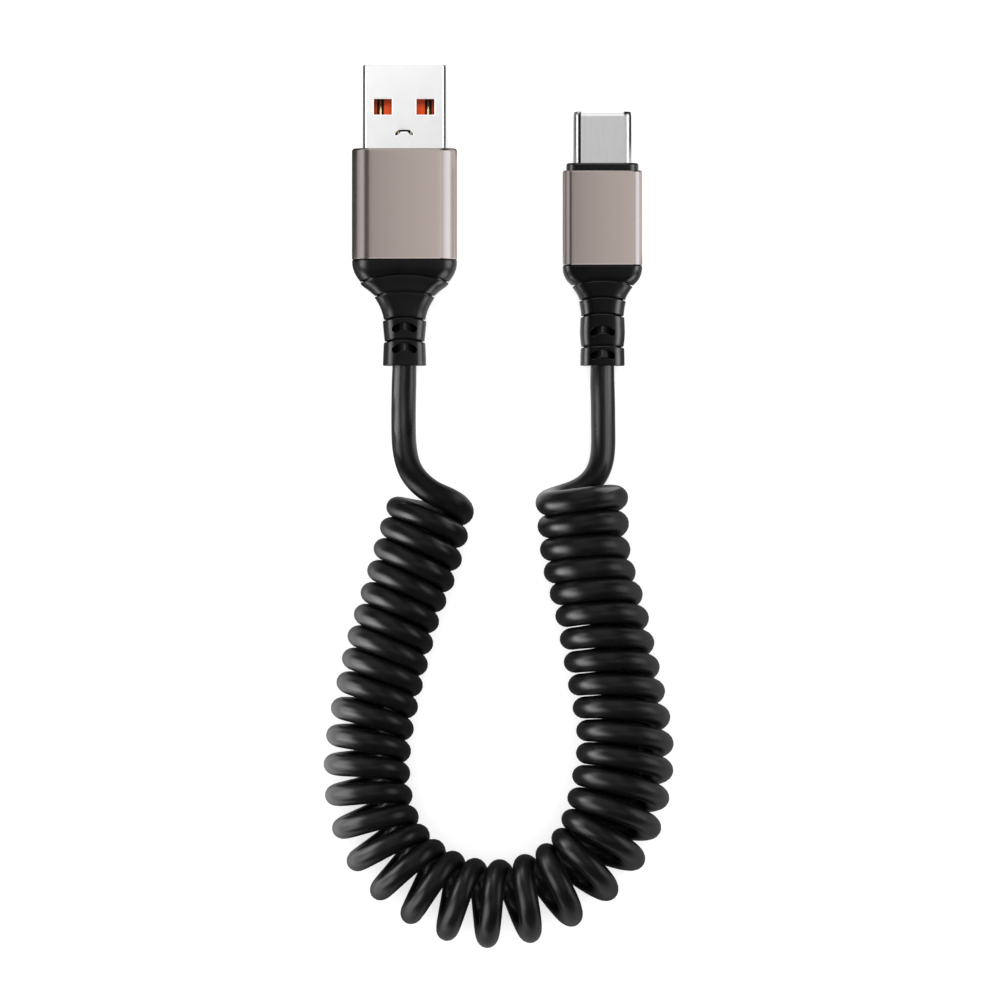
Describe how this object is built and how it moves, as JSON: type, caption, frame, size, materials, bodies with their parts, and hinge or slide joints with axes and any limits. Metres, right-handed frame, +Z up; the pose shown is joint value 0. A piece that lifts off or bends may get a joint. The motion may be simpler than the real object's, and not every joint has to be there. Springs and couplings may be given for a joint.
{
  "type": "coiled usb-a to usb-c charging cable",
  "caption": "Curly charging cable: a springy black coil laid in a U, with a USB-A plug and a USB-C plug in taupe metal sleeves with slotted strain reliefs.",
  "frame": {"origin": "on the resting surface, under the middle of the box that holds the two plugs (the cord left out)", "axes": "+Y is the way both plugs point, +Z is up off the surface the cable lies on, the USB-A plug is on the -X side"},
  "size_m": [0.0507, 0.1279, 0.0143],
  "materials": {
    "plated_steel": "bright nickel-plated sheet steel",
    "orange_insulator": "orange-red moulded insulator",
    "gold_contact": "gold-plated contact strip",
    "black_plastic": "black moulded plastic",
    "taupe_aluminium": "satin taupe anodised sleeve",
    "black_elastomer": "satin black elastomer",
    "cord_jacket": "satin black elastomer jacket"
  },
  "bodies": {
    "root": {"usb_a_shell": "plated_steel", "usb_a_tongue": "orange_insulator", "usb_a_contact_1": "gold_contact", "usb_a_contact_2": "gold_contact", "usb_a_contact_3": "gold_contact", "usb_a_contact_4": "gold_contact", "usb_a_inner_mould": "black_plastic", "usb_a_housing": "taupe_aluminium", "usb_a_boot": "black_elastomer", "usb_c_shell": "plated_steel", "usb_c_insulator": "black_plastic", "usb_c_inner_mould": "black_plastic", "usb_c_housing": "taupe_aluminium", "usb_c_boot": "black_elastomer", "cord_lead_a": "cord_jacket", "cord_coil": "cord_jacket", "cord_lead_c": "cord_jacket"}
  },
  "joints": []
}
